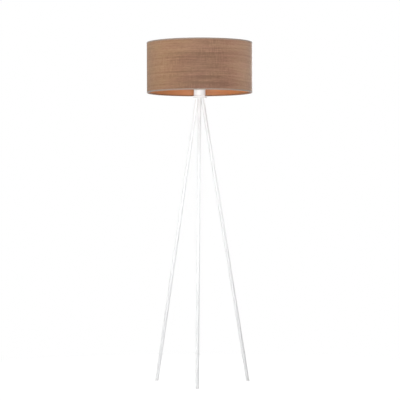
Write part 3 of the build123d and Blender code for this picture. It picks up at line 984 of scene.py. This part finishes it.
# painted shade: inside, the tape is a darker brown than the lining, as in the shade of the fold
shaded_inner_cloth = tint(height, (0.25, (0.2, 0.1, 0.053)), (0.75, (0.3, 0.15, 0.08)))
level = add_node(tree, "VectorMath", {0: object_place(tree), 1: (1, 1, 0)}, operation="MULTIPLY").outputs[0]
reach = add_node(tree, "VectorMath", {0: level}, operation="LENGTH").outputs["Value"]
outside = spread(reach, 0.0, 1.0, brown_until, beige_from)
cloth = add_node(tree, "Mix", {0: outside, 6: shaded_inner_cloth, 7: outer_cloth}, data_type="RGBA")
paint(shader, Base_Color=cloth.outputs[2])
relief(shader, height, weave_depth)
print("finish made for the slot binding_tape")

# %% [markdown]
# ## Rim bindings
# In section the tape is a thin U round the rim. Its outline is the U with its own thickness, spun all the way round. At
# the back the tape's end is folded over its start: a second, slightly larger U, spun through a few degrees only, lies on
# the first and shows as a short thicker stretch.

# %% Rim bindings
tape_thick = 0.4 * mm
tape_proud = 0.75 * tape_thick
tape_in = 244.3 * mm
tape_out = shade_radius + tape_thick
tape_lap = radians(6)
fold_in = 1.2 * mm
fold_out = 0.7 * mm
fold_in_back = 0.8 * mm
fold_out_back = 0.4 * mm


def tape_outline(proud, closed_end, open_end, opens):
    """Gives the outline of a U that stands proud by an amount, and opens up (1) or down (-1)."""
    inner = tape_in - proud
    outer = tape_out + proud
    rim = closed_end - opens * proud
    hem = open_end + opens * proud
    bend = rim + opens * tape_thick
    return [
        (inner, hem),
        (inner, rim, fold_in),
        (outer, rim, fold_out),
        (outer, hem),
        (outer - tape_thick, hem),
        (outer - tape_thick, bend, fold_out_back),
        (inner + tape_thick, bend, fold_in_back),
        (inner + tape_thick, hem),
    ]


for rim_name, opens in (("bottom", 1), ("top", -1)):
    low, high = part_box(rim_name + "_binding")
    ends = (low.z, high.z)[::opens]
    bm = turned(tape_outline(0.0, *ends, opens), shade_steps)
    lap_over(bm, tape_outline(tape_proud, *ends, opens), tape_lap, steps=8)
    lay_flat(bm, shade_radius)
    finish_piece(bm, rim_name + "_rim_tape", "shade", "binding_tape", rim_name + "_binding")

# %% [markdown]
# ## White dipped wire
# The shade's frame is steel wire and a pressed washer, dipped in white paint. Dipping leaves a thicker, glossier skin
# than powder, with soft waves where the paint has run.

# %% White dipped wire
clouded_finish(
    "white_wire", dark=(0.84, 0.84, 0.825), light=(0.89, 0.89, 0.88), cloud=(30,), gloss=(0.26, 0.42),
    gloss_follows="skin", skin=((110, 110, 60), 1), depth=0.015 * mm,
)

# %% [markdown]
# ## Shade carrier
# The carrier hangs the shade on the lamp holder: a pressed washer, and three arms of round wire that run out level, bend
# down and are welded to the lower wire ring. Each arm is a circle that is extruded outwards, spun through the bend, and
# extruded down. Small flattened beads stand for the welds, which the dip has softened.

# %% Shade carrier
carrier_low, carrier_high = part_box("shade_carrier")
arm_radius = 2.0 * mm
arm_height = carrier_high.z - arm_radius
arm_start = 29.5 * mm
arm_reach = 246.75 * mm
arm_bend = 14.0 * mm
arm_angles = (90, 210, 330)
arm_sides = 20
bend_steps = 10
washer_hole = 20.25 * mm
washer_radius = 31.0 * mm
washer_bottom = arm_height - 1.0 * mm
washer_top = arm_height + 1.0 * mm
hole_round = 0.4 * mm
washer_round = 0.6 * mm
bead_size = (2.4 * mm, 2.9 * mm, 1.7 * mm)


def draw_out(bm, edges, step):
    """Extrudes a rim of edges by a step and gives the new rim."""
    made = bmesh.ops.extrude_edge_only(bm, edges=edges)["geom"]
    moved = verts_of(made)
    bmesh.ops.translate(bm, verts=moved, vec=step)
    rim = set(moved)
    return [edge for edge in edges_of(made) if set(edge.verts) <= rim]


def drop_arm(bm, angle):
    """Adds one bent arm, with its bead of weld on the washer, that points to an angle round the axis."""
    before = set(bm.verts)
    on_end = Matrix.Translation((arm_start, 0, arm_height)) @ Matrix.Rotation(pi / 2, 4, "Y")
    ring = bmesh.ops.create_circle(
        bm, segments=arm_sides, radius=arm_radius, cap_ends=True, matrix=on_end
    )["verts"]
    rim = draw_out(bm, edges_at(ring), (arm_reach - arm_bend - arm_start, 0, 0))
    made = bmesh.ops.spin(
        bm, geom=rim + ends_of(rim), axis=(0, 1, 0), angle=pi / 2, steps=bend_steps,
        cent=(arm_reach - arm_bend, 0, arm_height - arm_bend),
    )
    rim = draw_out(bm, edges_of(made["geom_last"]), (0, 0, carrier_low.z - arm_height + arm_bend))
    bmesh.ops.contextual_create(bm, geom=rim)
    bead = bmesh.ops.create_uvsphere(bm, u_segments=20, v_segments=12, radius=1.0)["verts"]
    bmesh.ops.scale(bm, verts=bead, vec=bead_size)
    bmesh.ops.translate(bm, verts=bead, vec=(washer_radius, 0, arm_height))
    rotate(bm, [vert for vert in bm.verts if vert not in before], angle)


bm = turned(band(washer_hole, washer_radius, washer_bottom, washer_top, hole_round, washer_round))
for degrees in arm_angles:
    drop_arm(bm, radians(degrees))
close_up(bm)
finish_piece(bm, "wire_carrier", "shade", "white_wire", "shade_carrier")

# %% [markdown]
# ## Finishes of the hidden parts
# Some parts stay as the CAD made them: the plugs in the leg tops, the washer, the ceramic block and the board with the
# light chips. They still get a real finish, because the lamp may be taken apart or seen through its openings. The zinc
# made here is also the finish of the tube, the screws and the nut below. On the board the height above it tells the
# yellow chips from the white mask.

# %% Zinc, ceramic, glass and board
clouded_finish(
    "zinc_steel", dark=(0.52, 0.53, 0.55), light=(0.68, 0.69, 0.7), stops=(0.3, 0.7), cloud=(300, 4, 0.6),
    gloss=(0.28, 0.46), Metallic=1.0,
)
clouded_finish(
    "white_ceramic", dark=(0.72, 0.69, 0.62), light=(0.88, 0.865, 0.82), stops=(0.25, 0.4), cloud=(900,),
    skin=(90,), depth=0.05 * mm, Roughness=0.18, Coat_Weight=0.4, Coat_Roughness=0.08,
)
clouded_finish(
    "black_glass", dark=(0.02, 0.018, 0.026), light=(0.06, 0.052, 0.07), stops=(0.3, 0.7), cloud=(250, 3),
    gloss=(0.08, 0.2),
)
chip_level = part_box("led_board")[1].z - 0.35 * mm
tree, shader = start_finish("aluminium")
place = object_place(tree)
height = add_node(tree, "SeparateXYZ", {"Vector": place}).outputs["Z"]
on_chip = spread(height, 0.0, 1.0, chip_level, chip_level + 0.1 * mm)
mask = grains(place, 400)
mask_or_chip = join("ADD", join("MULTIPLY", mask, 0.3), join("MULTIPLY", on_chip, 0.6))
board = tint(
    mask_or_chip, (0.1, (0.84, 0.84, 0.83)), (0.3, (0.9, 0.9, 0.9)), (0.62, (0.83, 0.66, 0.12))
)
paint(shader, Base_Color=board, Roughness=spread(mask, 0.35, 0.5))
print("finishes made:", ", ".join(sorted(finishes)))

# %% [markdown]
# ## Threaded tube
# A short tube with a fine thread holds the cup and the lamp holder on the plate, and the cable would come in through it.
# The solids leave its thread out, so it is wound here, with the same helper as the holder's coarse one.

# %% Threaded tube
tube_radius, tube_bottom, tube_top = round_box("threaded_nipple")
tube_bore = tube_radius - 1.0 * mm
fine_pitch = 1.0 * mm
fine_root = tube_radius - 0.55 * mm
fine_neck = fine_root - 0.05 * mm
fine_end = fine_root - 0.15 * mm
fine_bottom = tube_bottom + 0.5 * mm
fine_top = tube_top - 0.5 * mm
bm = threaded([[
    (fine_neck, fine_top),
    (fine_end, tube_top),
    (tube_bore, tube_top),
    (tube_bore, tube_bottom),
    (fine_end, tube_bottom),
    (fine_neck, fine_bottom),
]], fine_root, tube_radius, fine_pitch, fine_bottom, fine_top, sharp_tooth, steps=48)
finish_piece(bm, "hub_thread_tube", "stand", "zinc_steel", "threaded_nipple")

# %% [markdown]
# ## Leg screws
# Each leg hangs on a low-head screw that runs along the leg's own line, so its head sits askew in the plate. A screw is
# wound standing on its head's seat, with a hexagon sunk in the head for the key, and is then set on its leg's line.

# %% Leg screws
screw_seat = Matrix.Translation((0, 0, -4.5 * mm))
screw_radius = 3.0 * mm
screw_root = 2.45 * mm
screw_neck = screw_root - 0.05 * mm
screw_end = screw_root - 0.5 * mm
screw_pitch = 1.0 * mm
screw_length = 22.0 * mm
shank_end = 1.0 * mm
screw_start = 1.5 * mm
screw_stop = screw_length - 0.6 * mm
head_radius = 5.0 * mm
head_bottom = -4.0 * mm
head_round = 0.6 * mm
face_radius = head_radius - 0.9 * mm
seat_round = 0.2 * mm
key_radius = 2.0 * mm / cos(pi / 6)
key_depth = 2.2 * mm


def key_screw():
    """Makes one screw with its seat at zero, its shank along +Z and its head below."""
    bm = threaded([
        [
            (screw_neck, screw_stop),
            (screw_end, screw_length),
            (0.0, screw_length),
        ],
        [
            (face_radius, head_bottom),
            (head_radius, head_bottom, head_round),
            (head_radius, 0.0, seat_round),
            (screw_radius, 0.0),
            (screw_radius, shank_end),
            (screw_neck, screw_start),
        ],
    ], screw_root, screw_radius, screw_pitch, screw_start, screw_stop, sharp_tooth, steps=48)
    key_place = Matrix.Translation((0, 0, head_bottom))
    corners = bmesh.ops.create_circle(bm, segments=6, radius=key_radius, matrix=key_place)["verts"]
    key_floor = draw_out(bm, edges_at(corners), (0, 0, key_depth))
    bmesh.ops.contextual_create(bm, geom=key_floor)
    fill_level(bm, head_bottom)
    close_up(bm)
    return bm


bm = bmesh.new()
for foot in foot_points.values():
    screw = key_screw()
    bmesh.ops.transform(screw, matrix=leg_line(foot)[0] @ screw_seat, verts=screw.verts)
    put_in(bm, screw)
finish_piece(bm, "leg_key_screws", "stand", "zinc_steel", "leg_bolts")

# %% [markdown]
# ## Lock nut
# A thin hexagon nut clamps the cup. A nut is turned before it is milled, so this one is spun as a disc with coned edges,
# and then every point that lies outside the hexagon moves in to it. The cone leaves the curved corners of a real nut.

# %% Lock nut
nut_low, nut_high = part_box("lock_nut")
nut_flat = 7.0 * mm
nut_corner = nut_flat / cos(pi / 6)
nut_cone = 0.6 * mm
nut_bore = tube_radius + 0.05 * mm
bm = turned([
    (nut_bore, nut_low.z, bore_round),
    (nut_flat, nut_low.z),
    (nut_corner, nut_low.z + nut_cone),
    (nut_corner, nut_high.z - nut_cone),
    (nut_flat, nut_high.z),
    (nut_bore, nut_high.z, bore_round),
], steps=120)
for vert in bm.verts:
    reach = vert.co.xy.length
    side_angle = atan2(vert.co.y, vert.co.x) % (pi / 3) - pi / 6
    vert.co.xy *= min(reach, nut_flat / cos(side_angle)) / reach
bm.normal_update()
finish_piece(bm, "cup_lock_nut", "stand", "zinc_steel", "lock_nut")

# %% [markdown]
# ## Dress the CAD nodes
# Every CAD node gets the finish of its slot, also those that a new piece replaces, so no flat colour is left anywhere.

# %% Dress the CAD nodes
for subpart in record["subparts"]:
    node = frame["nodes"][subpart["node"]]
    node.data.materials.clear()
    node.data.materials.append(finishes[subpart["material_slot"]])
print(len(record["subparts"]), "CAD nodes dressed")

# %% [markdown]
# ## White surroundings
# The lamp stands in a white studio. The world is pure white to the camera, and to mirrors and glass, but lights the lamp
# at a plain level: Light Path tells the two apart.

# %% White surroundings


def seen_directly(tree):
    """Gives 1 for rays from the camera, a mirror or glass, and 0 for rays that gather light."""
    path = add_node(tree, "LightPath", {}).outputs
    seen = join("ADD", path["Is Camera Ray"], path["Is Glossy Ray"])
    seen = join("ADD", seen, path["Is Transmission Ray"])
    return join("MINIMUM", seen, 1.0)


def mix(share, first, second):
    """Mixes two shaders; a share of 1 gives the second."""
    return add_node(share.id_data, "MixShader", {0: share, 1: first.outputs[0], 2: second.outputs[0]})


def grey(level):
    """Gives a grey colour of one level."""
    return (level, level, level, 1.0)


fill_light = 0.25
world = bpy.data.worlds.new("studio")
scene.world = world
world.use_nodes = True
tree = world.node_tree
tree.nodes.clear()
fill = add_node(tree, "Background", {"Color": grey(1), "Strength": fill_light})
white = add_node(tree, "Background", {"Color": grey(1), "Strength": 1.0})
sky = mix(seen_directly(tree), fill, white)
add_node(tree, "OutputWorld", {"Surface": sky.outputs[0]})
print("white world with a fill light of", fill_light)

# %% [markdown]
# ## Floor
# The floor is as white as the world. Round the lamp it also takes real shadows, so the feet don't float: there a weak
# diffuse shader is added to a glow. Further out it fades to the white of the world, so there is no horizon. From below
# it is clear.

# %% Floor
floor_size = 12.0
floor_drop = 0.2 * mm
shadow_reach = 0.9
floor_glow = 0.86
floor_shade = 0.3
floor_paper = 0.9
paper = bpy.data.materials.new("studio_floor")
paper.use_nodes = True
tree = paper.node_tree
tree.nodes.clear()
glow = add_node(tree, "Emission", {"Color": grey(1), "Strength": floor_glow})
shadow = add_node(tree, "BsdfDiffuse", {"Color": grey(floor_shade)})
near = add_node(tree, "AddShader", {0: glow.outputs[0], 1: shadow.outputs[0]})
far = add_node(tree, "Emission", {"Color": grey(1), "Strength": 1.0})
distance = add_node(tree, "VectorMath", {0: object_place(tree)}, operation="LENGTH").outputs["Value"]
fade = spread(distance, 0.0, 1.0, shadow_reach, 2.0 * shadow_reach)
dull = add_node(tree, "BsdfDiffuse", {"Color": grey(floor_paper)})
ground = mix(seen_directly(tree), dull, mix(fade, near, far))
from_below = add_node(tree, "NewGeometry", {}).outputs["Backfacing"]
face = mix(from_below, ground, add_node(tree, "BsdfTransparent", {}))
add_node(tree, "OutputMaterial", {"Surface": face.outputs[0]})

bm = bmesh.new()
bmesh.ops.create_grid(bm, x_segments=1, y_segments=1, size=floor_size / 2)
bmesh.ops.translate(bm, verts=bm.verts, vec=(0, 0, -floor_drop))
mesh = bpy.data.meshes.new("floor")
bm.to_mesh(mesh)
bm.free()
mesh.materials.append(paper)
floor = bpy.data.objects.new("floor", mesh)
scene.collection.objects.link(floor)
print("floor", floor_size, "m wide")

# %% [markdown]
# ## Soft boxes
# The main box stands low in front, in line with the camera, and points up. It reaches under the shade and makes the
# hub white, and the hub's shadow falls out of sight behind it. A grid before the box keeps its light narrow, so the legs
# fade to grey towards the floor; in Blender that is the spread of an area light. A weak box with a grid stands out on
# the left and lifts the lower legs. Two boxes hang high at the sides for the shade's flanks; the right one has a grid
# too, so that little of its light reaches the legs. The box far above stands to the left, nearly in line with the right
# leg, which therefore stays the darkest of the three, as in the photograph. The last box is for the views from behind.

# %% Soft boxes


def soft_box(name, spot, aim, size, watts, grid=180.0):
    """Hangs a square soft box at a spot, turns it to its aim, and narrows its light to its grid's degrees."""
    lamp = bpy.data.lights.new(name, "AREA")
    lamp.shape = "SQUARE"
    lamp.size = size
    lamp.energy = watts
    lamp.spread = radians(grid)
    box = bpy.data.objects.new(name, lamp)
    box.location = spot
    box.rotation_euler = (Vector(aim) - Vector(spot)).to_track_quat("-Z", "Y").to_euler()
    scene.collection.objects.link(box)
    print(name, "of", watts, "W")


soft_box("left_box", (-1.3, -0.7, 3.0), aim=(0, 0, 1.5), size=1.0, watts=5.5)
soft_box("right_box", (1.3, -0.7, 3.0), aim=(0.15, -0.1, 1.5), size=1.0, watts=1.15, grid=40.0)
soft_box("front_box", (0.15, -4.0, 0.4), aim=(0, 0, 1.3), size=1.0, watts=11.1, grid=56.0)
soft_box("side_box", (-2.2, -3.4, 1.2), aim=(0, -0.2, 0.5), size=0.8, watts=2.0, grid=44.0)
soft_box("top_box", (-1.4, -1.1, 5.7), aim=(0, 0, 0.8), size=2.0, watts=92.0)
soft_box("back_box", (0.5, 3.6, 1.5), aim=(0, 0, 1.2), size=1.6, watts=65.0)

# %% [markdown]
# ## Camera
# The photograph was taken from far away with a long lens, at about half the lamp's height, and the camera looks level.
# A small upward shift of the lens frames the lamp, which keeps its uprights parallel. The camera stands a few degrees to
# the right of the front leg, and is rolled by a fraction of a degree, because the photographed tripod leans that much.

# %% Camera
view_distance = 8.5
view_height = 0.8235
view_azimuth = radians(3.6)
view_roll = radians(0.2)
pixel_at_lamp = 4.75 * mm
image_pixels = 400
shift_pixels = 10.2
sensor = 36.0
lens = bpy.data.cameras.new("camera")
lens.sensor_width = sensor
lens.lens = view_distance / (pixel_at_lamp * image_pixels) * sensor
lens.shift_y = shift_pixels / image_pixels
camera = bpy.data.objects.new("camera", lens)
camera.location = (view_distance * sin(view_azimuth), -view_distance * cos(view_azimuth), view_height)
camera.rotation_euler = (pi / 2, view_roll, view_azimuth)
scene.collection.objects.link(camera)
scene.camera = camera
scene.view_settings.view_transform = "Standard"
print("lens", round(lens.lens, 1), "mm")
